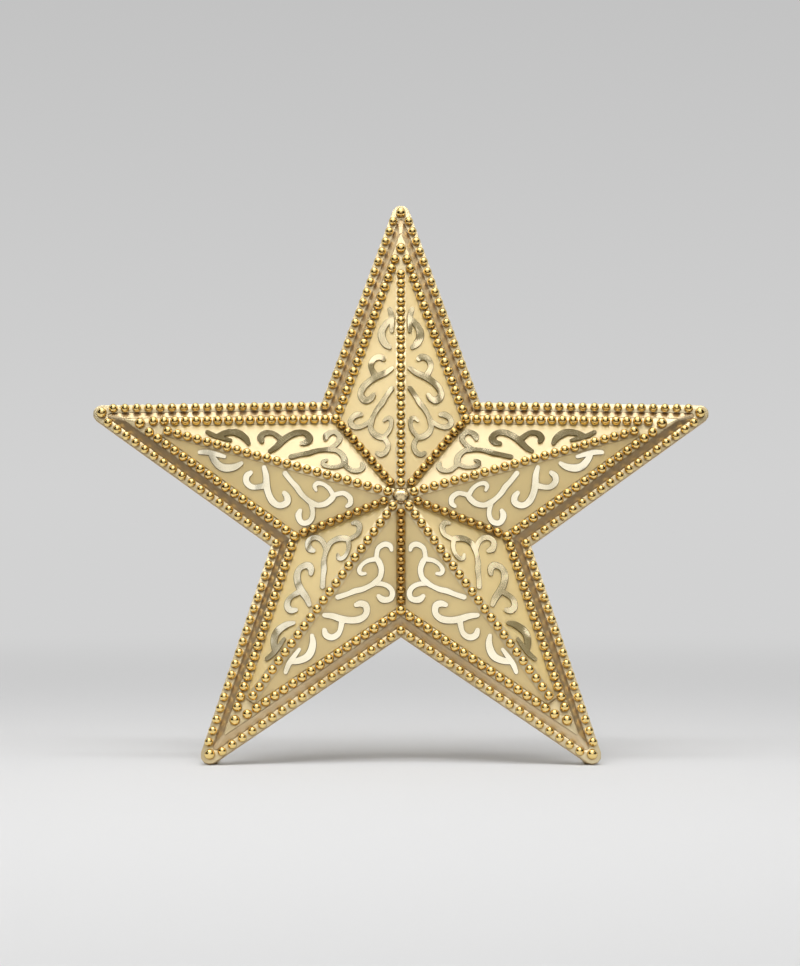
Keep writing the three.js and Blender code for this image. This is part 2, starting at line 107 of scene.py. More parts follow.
grain = add_node(lacquer, "ShaderNodeTexNoise", {
    "Vector": metal_place.outputs["Object"],
    "Scale": 1400.0,
    "Detail": 2.0,
})
gloss_offset = add_node(lacquer, "ShaderNodeMath", {
    0: cloud_mask.outputs["Result"],
    1: -0.5,
}, operation="ADD")
gloss_spread = add_node(lacquer, "ShaderNodeMath", {
    0: gloss_offset.outputs[0],
    1: lacquer_in.outputs["Gloss Spread"],
}, operation="MULTIPLY")
gloss = add_node(lacquer, "ShaderNodeMath", {
    0: lacquer_in.outputs["Gloss"],
    1: gloss_spread.outputs[0],
}, operation="SUBTRACT")
lacquer.links.new(cloud_color, lacquer_out.inputs["Color"])
lacquer.links.new(gloss.outputs[0], lacquer_out.inputs["Roughness"])
waves = add_node(lacquer, "ShaderNodeTexNoise", {
    "Vector": metal_place.outputs["Object"],
    "Scale": 95.0,
    "Detail": 0.0,
})
lacquer.links.new(grain.outputs["Fac"], lacquer_out.inputs["Grain"])
lacquer.links.new(waves.outputs["Fac"], lacquer_out.inputs["Waves"])


def lacquered_metal(name, light, dark, metallic, roughness, cloud_scale=30.0, grain_strength=0.05, wave=0.0):
    material = bpy.data.materials.new(name)
    material.use_nodes = True
    tree = material.node_tree
    shader = tree.nodes["Principled BSDF"]
    coat = add_node(tree, "ShaderNodeGroup", {}, node_tree=lacquer)
    coat.inputs["Light"].default_value = (*light, 1)
    coat.inputs["Dark"].default_value = (*dark, 1)
    coat.inputs["Cloud Scale"].default_value = cloud_scale
    coat.inputs["Gloss"].default_value = roughness
    waviness = add_node(tree, "ShaderNodeBump", {"Height": coat.outputs["Waves"], "Distance": wave})
    bump = add_node(tree, "ShaderNodeBump", {
        "Height": coat.outputs["Grain"],
        "Strength": grain_strength,
        "Distance": 0.0002,
        "Normal": waviness.outputs["Normal"],
    })
    tree.links.new(coat.outputs["Color"], shader.inputs["Base Color"])
    tree.links.new(coat.outputs["Roughness"], shader.inputs["Roughness"])
    tree.links.new(bump.outputs["Normal"], shader.inputs["Normal"])
    shader.inputs["Metallic"].default_value = metallic
    return material


def repaint(node_name, material):
    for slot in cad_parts[node_name].material_slots:
        slot.material = material


rim_metal = lacquered_metal("rim_metal", (0.85, 0.68, 0.43), (0.77, 0.60, 0.36),
    metallic=1.0, roughness=0.42)
repaint("rim_frame", rim_metal)

# Back cover: a flat brass sheet that closes the star behind, duller than the front because it is only
# brushed. It stays as it is in the CAD.
cover_metal = lacquered_metal("cover_metal", (0.60, 0.47, 0.25), (0.50, 0.38, 0.19),
    metallic=1.0, roughness=0.42, cloud_scale=18.0, grain_strength=0.12)
repaint("back_cover", cover_metal)

# Arm shells: five folded sheets of pale lacquered brass, each with a flat-topped ridge and two sloping
# faces. Their satin lacquer spreads the light, so the faces look painted and the ones turned up are
# nearly white.
arm_names = ("top", "left", "lower_left", "lower_right", "right")
shell_metal = lacquered_metal("shell_metal", (0.88, 0.64, 0.19), (0.81, 0.58, 0.165),
    metallic=0.1, roughness=0.42)
shell_metal.node_tree.nodes["Principled BSDF"].inputs["IOR"].default_value = 2.9
for arm_name in arm_names:
    repaint(f"arm_shell_{arm_name}", shell_metal)


# Outer bead strips: a V of thin pale brass band fixed on the flange round each point, with a row of stamped
# and polished round beads on it and a larger one at the very tip. Each strip also carries the bead of the
# corner on its left.
lean = math.radians(19.0)
half_spacing = math.pi / 5
point_half_angle = math.radians(18.8)
edge_sin, edge_cos = math.sin(point_half_angle), math.cos(point_half_angle)
star_centre = (0, -0.0031576, 0.121961)
star_place = Matrix.Translation(star_centre) @ Matrix.Rotation(math.pi / 2 - lean, 4, "X")
band_thickness = 0.00045
band_edge = 0.0001
seat_gap = 0.0003
weld_distance = 0.000002


def turned_place(half_turns):
    """The place of an arm (an even number) or a valley (an odd one), counted from the top arm."""
    return star_place @ Matrix.Rotation(math.pi / 2 + half_spacing * half_turns, 4, "Z")


def link_object(name, data):
    item = bpy.data.objects.new(name, data)
    bpy.context.collection.objects.link(item)
    return item


def select_only(*items):
    bpy.ops.object.select_all(action="DESELECT")
    for item in items:
        item.select_set(True)
    bpy.context.view_layer.objects.active = items[0]


def cut_band(name, outline, metal):
    """A flat band with softened edges, from its outline. Its underside is at height 0."""
    curve = bpy.data.curves.new(name, "CURVE")
    curve.dimensions = "2D"
    curve.fill_mode = "BOTH"
    curve.extrude = band_thickness / 2 - band_edge
    curve.bevel_depth = band_edge
    curve.bevel_resolution = 1
    curve.offset = -band_edge
    spline = curve.splines.new("POLY")
    spline.points.add(len(outline) - 1)
    for point, (x, y) in zip(spline.points, outline):
        point.co = (x, y, 0, 1)
    spline.use_cyclic_u = True
    band = link_object(name, curve)
    select_only(band)
    bpy.ops.object.convert(target="MESH")
    band = bpy.context.object
    band.data.transform(Matrix.Translation((0, 0, band_thickness / 2)))
    bpy.ops.object.mode_set(mode="EDIT")
    bpy.ops.mesh.select_all(action="SELECT")
    bpy.ops.mesh.remove_doubles(threshold=weld_distance)
    bpy.ops.mesh.normals_make_consistent(inside=False)
    bpy.ops.object.mode_set(mode="OBJECT")
    bpy.ops.object.shade_smooth_by_angle(angle=math.radians(40))
    band.data.materials.append(metal)
    return band


def valley_point(distance, gap):
    s, c = math.sin(half_spacing), math.cos(half_spacing)
    scale = edge_sin * c + s * edge_cos
    return Vector(((distance * c + gap * edge_cos) / scale, (distance * s - gap * edge_sin) / scale))


def point_arc(distance, radius, steps):
    middle = (distance - radius) / edge_sin
    sweep = math.pi / 2 - point_half_angle
    angles = [sweep * (2 * i / steps - 1) for i in range(steps + 1)]
    return [Vector((middle + radius * math.cos(a), radius * math.sin(a))) for a in angles]


def mirrored(point):
    return Vector((point.x, -point.y))


def edge_places(distance, count, first_offset):
    """The places of the beads along one edge of a point, from its tip to just before the corner."""
    tip = distance / edge_sin
    first = first_offset / edge_sin
    corner = valley_point(distance, 0)
    pitch = (math.hypot(tip - corner.x, corner.y) - first) / count
    runs = [first + pitch * i for i in range(count)]
    return [Vector((tip - run * edge_cos, run * edge_sin)) for run in runs]


def round_bead(radius, lift, metal):
    """One bead with its foot sunk 0.1 mm, and how far up the bead each place is, for the painted shade at its
    foot.
    """
    bpy.ops.object.select_all(action="DESELECT")
    bpy.ops.mesh.primitive_uv_sphere_add(segments=14, ring_count=8, radius=radius, location=(0, 0, 0))
    knob = bpy.context.object
    knob.data.transform(Matrix.Translation((0, 0, lift * radius)))
    bpy.ops.object.mode_set(mode="EDIT")
    bpy.ops.mesh.select_all(action="SELECT")
    bpy.ops.mesh.bisect(plane_co=(0, 0, -0.0001), plane_no=(0, 0, 1), clear_inner=True, use_fill=True)
    bpy.ops.object.mode_set(mode="OBJECT")
    bpy.ops.object.shade_smooth_by_angle(angle=math.radians(50))
    rise = knob.data.attributes.new("rise", "FLOAT", "POINT")
    top = (1 + lift) * radius
    for vertex in knob.data.vertices:
        rise.data[vertex.index].value = max(0.0, vertex.co.z / top)
    knob.data.materials.append(metal)
    return knob


def string_beads(band, beads):
    """Joins a band with copies of beads. Each entry of beads is a bead and the places of its copies."""
    copies = []
    for knob, places in beads:
        for matrix in places:
            copy = link_object("bead", knob.data.copy())
            copy.data.transform(matrix)
            copies.append(copy)
    select_only(band, *copies)
    bpy.ops.object.join()
    return bpy.context.object


def set_copies(master, names, first_half_turn=0):
    """Sets a copy of a finished piece on every second half turn, in place of the named CAD nodes."""
    for i, (piece_name, node_name) in enumerate(names):
        piece = link_object(piece_name, master.data.copy())
        piece.data.transform(turned_place(first_half_turn + 2 * i))
        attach(piece, "root")
        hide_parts(node_name)
    bpy.data.objects.remove(master)


# Beads are rich polished gold, with their feet coloured brown as painted shade where each bead meets its
# band.
bead_foot_shade, bead_foot_shade_in, bead_foot_shade_out = add_group(
    "bead_foot_shade",
    [("Foot", "NodeSocketColor", (0.2, 0.1, 0.02, 1)), ("Top", "NodeSocketColor", (0.9, 0.6, 0.2, 1))],
    [("Color", "NodeSocketColor"), ("Roughness", "NodeSocketFloat")],
)
rise_value = add_node(bead_foot_shade, "ShaderNodeAttribute", {}, attribute_name="rise")
rise_mask = add_node(bead_foot_shade, "ShaderNodeMapRange", {
    "Value": rise_value.outputs["Fac"],
    "From Min": 0.05,
    "From Max": 0.55,
}, interpolation_type="SMOOTHSTEP")
# The Foot colour, low on each bead, is painted shade; the Top colour is the gold itself.
shaded_bead_color = mixed_color(bead_foot_shade, rise_mask.outputs["Result"], bead_foot_shade_in.outputs["Foot"],
    bead_foot_shade_in.outputs["Top"])
foot_roughness = add_node(bead_foot_shade, "ShaderNodeMapRange", {
    "Value": rise_mask.outputs["Result"],
    "To Min": 0.4,
    "To Max": 0.12,
})
bead_foot_shade.links.new(shaded_bead_color, bead_foot_shade_out.inputs["Color"])
bead_foot_shade.links.new(foot_roughness.outputs["Result"], bead_foot_shade_out.inputs["Roughness"])


def polished_beads(name, foot, top):
    material = bpy.data.materials.new(name)
    material.use_nodes = True
    tree = material.node_tree
    shader = tree.nodes["Principled BSDF"]
    tone = add_node(tree, "ShaderNodeGroup", {}, node_tree=bead_foot_shade)
    tone.inputs["Foot"].default_value = (*foot, 1)
    tone.inputs["Top"].default_value = (*top, 1)
    tree.links.new(tone.outputs["Color"], shader.inputs["Base Color"])
    tree.links.new(tone.outputs["Roughness"], shader.inputs["Roughness"])
    shader.inputs["Metallic"].default_value = 1.0
    return material


# Its foot colour is painted shade, darker where the bead meets its band.
bead_metal = polished_beads("bead_metal", (0.18, 0.08, 0.014), (1.0, 0.75, 0.30))

band_metal = lacquered_metal("band_metal", (0.86, 0.73, 0.46), (0.78, 0.63, 0.36),
    metallic=0.9, roughness=0.40)

tip_radius, tip_reach = 0.0044, 0.1584
tip_middle = tip_reach - tip_radius
rim_edge = tip_radius + tip_middle * edge_sin
row_inset = 0.0022
outer_row = rim_edge - row_inset
half_outer_band = 0.0020
outer_band_top = 0.00195
row_outside, row_inside = outer_row + half_outer_band, outer_row - half_outer_band
outer_side = valley_point(row_outside, seat_gap / 2)
inner_side = valley_point(row_inside, seat_gap / 2)
outer_outline = [
    mirrored(outer_side),
    *point_arc(row_outside, radius=0.0042, steps=12),
    outer_side,
    inner_side,
    *reversed(point_arc(row_inside, radius=0.0018, steps=8)),
    mirrored(inner_side),
]
outer_band = cut_band("outer_band", outer_outline, band_metal)
outer_band.data.transform(Matrix.Translation((0, 0, outer_band_top - band_thickness)))


def standing(x, y, height):
    return Matrix.Translation((x, y, height))


outer_bead = round_bead(radius=0.0022, lift=0.5, metal=bead_metal)
tip_bead = round_bead(radius=0.0026, lift=0.5, metal=bead_metal)
outer_corner_bead = round_bead(radius=0.0022, lift=0.62, metal=bead_metal)
outer_edge = edge_places(outer_row, count=18, first_offset=0.0039)
outer_corner = valley_point(outer_row, 0)
outer_strip = string_beads(outer_band, [
    (outer_bead, [standing(p.x, side * p.y, outer_band_top) for p in outer_edge for side in (1, -1)]),
    (tip_bead, [standing(tip_middle, 0, outer_band_top)]),
    (outer_corner_bead, [standing(outer_corner.x, outer_corner.y, outer_band_top)]),
])
outer_names = [(f"outer_beads_{name}", f"outer_bead_strip_{name}") for name in arm_names]
set_copies(outer_strip, outer_names)

# Inner bead strips: a second, closer row of the same kind, on a brass band fixed on the land inside the
# bevel. Its beads nearly touch, and the band closes to a small gusset at the point, where one bead stands
# by itself.
row_spacing = 0.0077
inner_row = outer_row - row_spacing
inner_band_top = 0.0036
half_inner_band = 0.00205
row_outside, row_inside = inner_row + half_inner_band, inner_row - half_inner_band
shell_edge = row_inside - seat_gap
half_ridge = 0.0026
shell_end = (shell_edge - edge_cos * half_ridge) / edge_sin
gusset = shell_end + seat_gap
gusset_half = (row_inside - gusset * edge_sin) / edge_cos
outer_side = valley_point(row_outside, seat_gap / 2)
inner_side = valley_point(row_inside, seat_gap / 2)
inner_outline = [
    mirrored(outer_side),
    *point_arc(row_outside, radius=0.0005, steps=6),
    outer_side,
    inner_side,
    Vector((gusset, gusset_half)),
    Vector((gusset, -gusset_half)),
    mirrored(inner_side),
]
inner_band = cut_band("inner_band", inner_outline, band_metal)
inner_band.data.transform(Matrix.Translation((0, 0, inner_band_top - band_thickness)))
inner_bead = round_bead(radius=0.0024, lift=0.5, metal=bead_metal)
inner_corner_bead = round_bead(radius=0.0025, lift=0.62, metal=bead_metal)
inner_edge = edge_places(inner_row, count=17, first_offset=0.0030)
inner_corner = valley_point(inner_row, 0)
tip_setback = 0.0029
inner_strip = string_beads(inner_band, [
    (inner_bead, [standing(p.x, side * p.y, inner_band_top) for p in inner_edge for side in (1, -1)]),
    (tip_bead, [standing(inner_row / edge_sin - tip_setback, 0, inner_band_top)]),
    (inner_corner_bead, [standing(inner_corner.x, inner_corner.y, inner_band_top)]),
])
inner_names = [(f"inner_beads_{name}", f"inner_bead_strip_{name}") for name in arm_names]
set_copies(inner_strip, inner_names)

# Ridge bead strips: a straight brass band fixed down the flat top of each ridge, with one row of beads
# along its middle, so that a pale edge shows on both sides of the row.
pyramid_rise = 0.0126
shell_underside = 0.00315
shell_thickness = 0.0009
facet_slope = pyramid_rise / shell_edge
steepness = math.hypot(1, facet_slope)
facet_peak = shell_underside + shell_thickness * steepness + pyramid_rise
ridge_fall = facet_slope * edge_sin
ridge_top = facet_peak - facet_slope * edge_cos * half_ridge


def sloping(fall, height):
    """Lays a level piece on a slope that falls along the arm."""
    return Matrix(((1, 0, 0, 0), (0, 1, 0, 0), (-fall, 0, 1, height), (0, 0, 0, 1)))


def sloped_strip(name, outline, metal, fall, height, places, knob):
    """A band down a slope, with its beads standing square to it. The height is its underside's."""
    band = cut_band(name, outline, metal)
    band.data.transform(sloping(fall, height))
    tilt = Matrix.Rotation(math.atan(fall), 4, "Y")
    on_band = [standing(x, 0, height + band_thickness - fall * x) @ tilt for x in places]
    return string_beads(band, [(knob, on_band)])


def spread(first, last, count):
    return [first + (last - first) * i / (count - 1) for i in range(count)]


ridge_bead = round_bead(radius=0.0023, lift=0.5, metal=bead_metal)
half_ridge_band = 0.0025
ridge_start = 0.0042
ridge_outline = [
    (ridge_start, -half_ridge_band),
    (shell_end, -half_ridge_band),
    (shell_end, half_ridge_band),
    (ridge_start, half_ridge_band),
]
end_margin = 0.00225
ridge_places = spread(0.0065, shell_end - seat_gap - end_margin, 23)
ridge_strip = sloped_strip("ridge_band", ridge_outline, band_metal, ridge_fall, ridge_top + seat_gap,
    ridge_places, ridge_bead)
ridge_names = [(f"ridge_beads_{name}", f"ridge_bead_strip_{name}") for name in arm_names]
set_copies(ridge_strip, ridge_names)

# Valley bead strips: a row in the groove between two arms, on a brass band that bridges the groove and is
# fixed to both its sides. Their beads and band are coloured darker than the others as painted shade of the
# groove. The two upper strips have one bead fewer.
valley_fall = facet_slope * math.sin(point_half_angle + half_spacing)
half_valley_band = 0.0022
bridge_height = facet_slope * math.cos(point_half_angle + half_spacing) * half_valley_band
valley_start = 0.0062
clear_of_ridge = half_ridge_band + seat_gap
start_half = (valley_start * math.sin(half_spacing) - clear_of_ridge) / math.cos(half_spacing)
full_from = (half_valley_band * math.cos(half_spacing) + clear_of_ridge) / math.sin(half_spacing)
valley_end = row_inside / math.sin(point_half_angle + half_spacing) - seat_gap
valley_side = [(valley_start, start_half), (full_from, half_valley_band), (valley_end, half_valley_band)]
valley_outline = [(x, -y) for x, y in valley_side] + valley_side[::-1]
valley_shade_metal = polished_beads("valley_shade_metal", (0.08, 0.035, 0.006), (0.80, 0.55, 0.20))
valley_band_shade_metal = lacquered_metal("valley_band_shade_metal", (0.56, 0.40, 0.17), (0.44, 0.30, 0.12),
    metallic=0.9, roughness=0.42)
# The bottom strip's beads are darker still: painted shade of the lowest groove.
bottom_valley_shade_metal = polished_beads("bottom_valley_shade_metal", (0.05, 0.02, 0.004), (0.60, 0.37, 0.11))
valley_bead = round_bead(radius=0.00225, lift=0.35, metal=valley_shade_metal)
valley_counts = {"upper_left": 9, "lower_left": 10, "bottom": 10, "lower_right": 10, "upper_right": 9}
for i, (valley_name, count) in enumerate(valley_counts.items()):
    places = spread(0.0085, valley_end - end_margin, count)
    valley_strip = sloped_strip("valley_band", valley_outline, valley_band_shade_metal, valley_fall,
        facet_peak + bridge_height + seat_gap, places, valley_bead)
    # The bottom strip takes the darker painted-shade beads.
    if valley_name == "bottom":
        valley_strip.material_slots["valley_shade_metal"].material = bottom_valley_shade_metal
    valley_names = [(f"valley_beads_{valley_name}", f"valley_bead_strip_{valley_name}")]
    set_copies(valley_strip, valley_names, 2 * i + 1)
for knob in (outer_bead, tip_bead, outer_corner_bead, inner_bead, inner_corner_bead, ridge_bead, valley_bead):
    bpy.data.objects.remove(knob)

# Scroll plates: three scrolls on each sloping face, stamped from thin brass, plated pale, polished until they
# mirror the room and fixed flat on the face. Each is made of flat-topped strokes that curl and branch, with
# their cut edges coloured near black as a painted shadow line.
scroll_metal = lacquered_metal("scroll_metal", (0.95, 0.88, 0.68), (0.89, 0.80, 0.58),
    metallic=1.0, roughness=0.1, cloud_scale=60.0, grain_strength=0.02, wave=0.0003)
# The cut edges' near-black colour is painted shade along the plates' walls.
scroll_edge_shade_metal = lacquered_metal("scroll_edge_shade_metal", (0.14, 0.10, 0.045), (0.10, 0.07, 0.03),
    metallic=1.0, roughness=0.45)

# Points on the middle lines of the strokes: the way along the arm, the way off the ridge and the width, in
# hundredths of the shell's length.
scroll_unit = shell_end / 100
scroll_lines = {
    "small": [
        [
            (82.78, 2.43, 1.79), (80.02, 1.70, 2.19), (76.94, 1.54, 2.11), (72.72, 1.54, 1.54),
        ],
        [
            (78.40, 1.79, 2.11), (76.29, 3.81, 2.68), (73.21, 5.52, 3.00), (70.28, 5.52, 3.17),
            (67.28, 4.22, 2.76), (65.41, 2.43, 1.87),
        ],
    ],
    "middle": [
        [
            (55.92, 1.62, 1.95), (54.21, 4.30, 2.60), (52.92, 7.63, 2.92), (51.21, 10.55, 2.76),
            (48.94, 12.90, 2.84), (46.42, 13.96, 2.52), (44.39, 13.55, 2.68), (42.85, 11.93, 2.92),
            (43.50, 9.98, 2.68), (44.96, 8.93, 2.03),
        ],
        [
            (53.40, 8.12, 2.60), (56.73, 9.66, 2.11), (59.00, 9.82, 2.35), (61.11, 8.60, 2.60),
            (61.68, 6.49, 2.76), (60.71, 5.03, 2.19),
        ],
    ],
    "large": [
        [
            (47.07, 1.62, 2.19), (43.66, 3.90, 2.03), (40.99, 5.44, 2.35), (38.79, 7.22, 2.19),
            (35.87, 8.77, 1.95), (33.11, 9.74, 2.43), (30.52, 9.90, 2.19), (27.76, 8.52, 2.43),
            (26.13, 6.17, 2.60), (25.65, 4.54, 2.11),
        ],
        [
            (25.81, 4.87, 2.11), (28.32, 2.68, 1.79), (31.08, 1.70, 1.62), (33.44, 1.95, 1.95),
            (34.17, 3.25, 1.87), (33.19, 4.54, 1.30),
        ],
        [
            (26.13, 5.03, 2.11), (24.10, 3.65, 1.95), (21.83, 2.92, 2.03), (19.23, 3.98, 2.27),
            (18.42, 5.92, 2.27), (19.23, 7.22, 1.70),
        ],
        [
            (33.60, 9.90, 2.11), (31.90, 12.66, 2.03), (31.41, 15.18, 2.19), (32.22, 17.12, 2.35),
            (34.17, 18.02, 2.27), (35.87, 17.21, 2.43), (36.93, 15.50, 2.76), (36.85, 13.96, 2.03),
        ],
    ],
}


def scroll_stroke(line, order):
    """One flat-topped stroke along its middle line. The first one's start is rounded like every end. The
    others start inside it, each a hundredth of a millimetre lower."""
    knots = [Vector((along, off, width)) * scroll_unit for along, off, width in line]
    knots = [Vector((k.x, half_ridge + k.y, k.z)) for k in knots]
    samples = []
    for i in range(len(knots) - 1):
        before, after = knots[max(i - 1, 0)], knots[min(i + 2, len(knots) - 1)]
        handle_a = knots[i] + (knots[i + 1] - before) / 6
        handle_b = knots[i + 1] - (after - knots[i]) / 6
        samples += interpolate_bezier(knots[i], handle_a, handle_b, knots[i + 1], samples_per_knot)[:-1]
    samples.append(knots[-1])
    ends = [(0, samples[0] - samples[1])] if order == 0 else []
    ends.append((-1, samples[-1] - samples[-2]))
    for end, outward in ends:
        direction = Vector((outward.x, outward.y, 0)).normalized()
        half = samples[end].z / 2
        cap = []
        for angle in end_angles:
            step = samples[end] + direction * half * math.sin(angle)
            step.z = 2 * half * math.cos(angle)
            cap.append(step)
        samples = cap[::-1] + samples if end == 0 else samples + cap
    curve = bpy.data.curves.new("stroke", "CURVE")
    curve.dimensions = "3D"
    curve.twist_mode = "Z_UP"
    curve.bevel_mode = "OBJECT"
    curve.bevel_object = stroke_profile
    curve.use_fill_caps = True
    spline = curve.splines.new("POLY")
    spline.points.add(len(samples) - 1)
    for point, sample in zip(spline.points, samples):
        point.co = (sample.x, sample.y, 0, 1)
        point.radius = sample.z / 2
    stroke = link_object("stroke", curve)
    select_only(stroke)
    bpy.ops.object.convert(target="MESH")
    stroke = bpy.context.object
    for vertex in stroke.data.vertices:
        height = section_heights[vertex.index % len(section)]
        vertex.co.z = height - order_step * order if height else 0
    return stroke


samples_per_knot = 6
end_angles = (0.5, 0.9, 1.25, 1.5)
order_step = 0.00001
section_curve = bpy.data.curves.new("stroke_profile", "CURVE")
section_curve.dimensions = "2D"
section_spline = section_curve.splines.new("POLY")
section = [(-1, 0), (-1, 0.26), (-0.9, 0.36), (0.9, 0.36), (1, 0.26), (1, 0)]
section_heights = (0, 0.00038, 0.00055, 0.00055, 0.00038, 0)
section_spline.points.add(len(section) - 1)
for point, (x, y) in zip(section_spline.points, section):
    point.co = (x, y, 0, 1)
section_spline.use_cyclic_u = True
stroke_profile = link_object("stroke_profile", section_curve)
level_normal = 0.94


def laid_on_facet(side):
    """Lays a level plate on the sloping face at one side of an arm."""
    base = facet_peak + seat_gap * steepness
    return Matrix((
        (1, 0, 0, 0),
        (0, side, 0, 0),
        (-facet_slope * edge_sin, -facet_slope * edge_cos, steepness, base),
        (0, 0, 0, 1),
    ))


for size, lines in scroll_lines.items():
    strokes = [scroll_stroke(line, i) for i, line in enumerate(lines)]
    select_only(*strokes)
    bpy.ops.object.join()
    scroll = bpy.context.object
    bpy.ops.object.mode_set(mode="EDIT")
    bpy.ops.mesh.select_all(action="SELECT")
    bpy.ops.mesh.remove_doubles(threshold=weld_distance)
    bpy.ops.mesh.normals_make_consistent(inside=False)
    bpy.ops.object.mode_set(mode="OBJECT")
    bpy.ops.object.shade_smooth_by_angle(angle=math.radians(20))
    scroll.data.materials.clear()
    scroll.data.materials.append(scroll_metal)
    scroll.data.materials.append(scroll_edge_shade_metal)
    # Steep faces, the cut edges, take the near-black painted-shade metal.
    for face in scroll.data.polygons:
        face.material_index = 1 if abs(face.normal.z) < level_normal else 0
    for side_name, side in (("left", 1), ("right", -1)):
        plate = link_object("plate", scroll.data.copy())
        plate.data.transform(laid_on_facet(side))
        if side < 0:
            plate.data.flip_normals()
        names = [(f"scroll_plate_{size}_{arm}_{side_name}", f"scroll_{size}_{arm}_{side_name}")
            for arm in arm_names]
        set_copies(plate, names)
    bpy.data.objects.remove(scroll)
bpy.data.objects.remove(stroke_profile)

# Peak cap: a low satin dome on a short five-sided skirt, pressed in one piece from brass sheet. It is fixed
# over the place where the five ridges meet.
cap_metal = lacquered_metal("cap_metal", (0.72, 0.57, 0.33), (0.62, 0.48, 0.27),
    metallic=1.0, roughness=0.25, cloud_scale=60.0, grain_strength=0.02)
cap_under = facet_peak - facet_slope * half_ridge * (edge_sin + edge_cos) + seat_gap
skirt_height = 0.0007
dome_middle = cap_under + 0.0006
dome_cut = cap_under + 0.0003
bpy.ops.object.select_all(action="DESELECT")
bpy.ops.mesh.primitive_cylinder_add(vertices=5, radius=0.0047, depth=skirt_height, location=(0, 0, 0))
skirt = bpy.context.object
skirt.data.transform(Matrix.Rotation(math.pi / 2 + half_spacing, 4, "Z"))
skirt.data.transform(Matrix.Translation((0, 0, cap_under + skirt_height / 2)))
bpy.ops.mesh.primitive_uv_sphere_add(segments=28, ring_count=14, radius=0.0040, location=(0, 0, 0))
dome = bpy.context.object
dome.data.transform(Matrix.Diagonal((1, 1, 0.36, 1)))
dome.data.transform(Matrix.Translation((0, 0, dome_middle)))
bpy.ops.object.mode_set(mode="EDIT")
bpy.ops.mesh.select_all(action="SELECT")
bpy.ops.mesh.bisect(plane_co=(0, 0, dome_cut), plane_no=(0, 0, 1), clear_inner=True, use_fill=True)
bpy.ops.object.mode_set(mode="OBJECT")
select_only(skirt, dome)
bpy.ops.object.join()
peak_cap = bpy.context.object
bpy.ops.object.shade_smooth_by_angle(angle=math.radians(40))
peak_cap.data.materials.append(cap_metal)
set_copies(peak_cap, [("peak_cap", "apex_cap")])

# Rear feet: two bent brass straps fixed behind the two lower points, brushed and not polished, because they
# are out of sight. They stay as they are in the CAD.
foot_metal = lacquered_metal("foot_metal", (0.55, 0.43, 0.22), (0.45, 0.34, 0.17),
    metallic=1.0, roughness=0.45, cloud_scale=40.0, grain_strength=0.15)
for side_name in ("left", "right"):
    repaint(f"rear_foot_{side_name}", foot_metal)

# Floor and background: a plain pale floor that fades into a plain grey backdrop behind the star. Lamps
# light the floor, and only the camera and the mirroring metal see the backdrop's own tone.
def seen_rays(tree):
    """1 for rays from the camera, from mirrors and through glass, else 0."""
    light_path = add_node(tree, "ShaderNodeLightPath", {})
    seen = add_node(tree, "ShaderNodeMath", {
        0: light_path.outputs["Is Camera Ray"],
        1: light_path.outputs["Is Glossy Ray"],
    }, operation="MAXIMUM")
    seen_too = add_node(tree, "ShaderNodeMath", {
        0: seen.outputs[0],
        1: light_path.outputs["Is Transmission Ray"],
    }, operation="MAXIMUM")
    return seen_too.outputs[0]


bpy.ops.object.select_all(action="DESELECT")
bpy.ops.mesh.primitive_circle_add(vertices=96, radius=14, fill_type="NGON", location=(0, 0, 0))
floor = bpy.context.object
floor.name = "floor"
floor_paint = bpy.data.materials.new("floor_paint")
floor_paint.use_nodes = True
tree = floor_paint.node_tree
floor_shader = tree.nodes["Principled BSDF"]
floor_shader.inputs["Base Color"].default_value = (0.745, 0.745, 0.745, 1)
floor_shader.inputs["Roughness"].default_value = 0.7
floor_shader.inputs["Specular IOR Level"].default_value = 0
backdrop = add_node(tree, "ShaderNodeEmission", {"Color": (0.645, 0.645, 0.645, 1), "Strength": 1.0})
floor_place = add_node(tree, "ShaderNodeTexCoord", {})
distance = add_node(tree, "ShaderNodeVectorMath", {
    0: floor_place.outputs["Object"],
    1: (0, -0.5, 0),
}, operation="DISTANCE")
fade = add_node(tree, "ShaderNodeMapRange", {
    "Value": distance.outputs["Value"],
    "From Min": 0.4,
    "From Max": 1.9,
}, interpolation_type="SMOOTHSTEP")
fade_seen = add_node(tree, "ShaderNodeMath", {0: fade.outputs["Result"], 1: seen_rays(tree)},
    operation="MULTIPLY")
floor_mix = add_node(tree, "ShaderNodeMixShader", {"Fac": fade_seen.outputs[0]})
tree.links.new(floor_shader.outputs["BSDF"], floor_mix.inputs[1])
tree.links.new(backdrop.outputs["Emission"], floor_mix.inputs[2])
tree.links.new(floor_mix.outputs["Shader"], tree.nodes["Material Output"].inputs["Surface"])
floor.data.materials.append(floor_paint)

world = bpy.data.worlds.new("studio")
bpy.context.scene.world = world
world.use_nodes = True
tree = world.node_tree
surround = tree.nodes["Background"]
surround.inputs["Color"].default_value = (1, 1, 1, 1)
surround.inputs["Strength"].default_value = 0.40
sky_place = add_node(tree, "ShaderNodeTexCoord", {})
sky_split = add_node(tree, "ShaderNodeSeparateXYZ", {"Vector": sky_place.outputs["Generated"]})
sky_tone = add_node(tree, "ShaderNodeMapRange", {
    "Value": sky_split.outputs["Z"],
    "From Min": 0.0,
    "From Max": 0.14,
    "To Min": 0.645,
    "To Max": 0.545,
})
shown = add_node(tree, "ShaderNodeBackground", {"Color": sky_tone.outputs["Result"], "Strength": 1.0})
world_mix = add_node(tree, "ShaderNodeMixShader", {"Fac": seen_rays(tree)})
tree.links.new(surround.outputs["Background"], world_mix.inputs[1])
tree.links.new(shown.outputs["Background"], world_mix.inputs[2])
tree.links.new(world_mix.outputs["Shader"], tree.nodes["World Output"].inputs["Surface"])

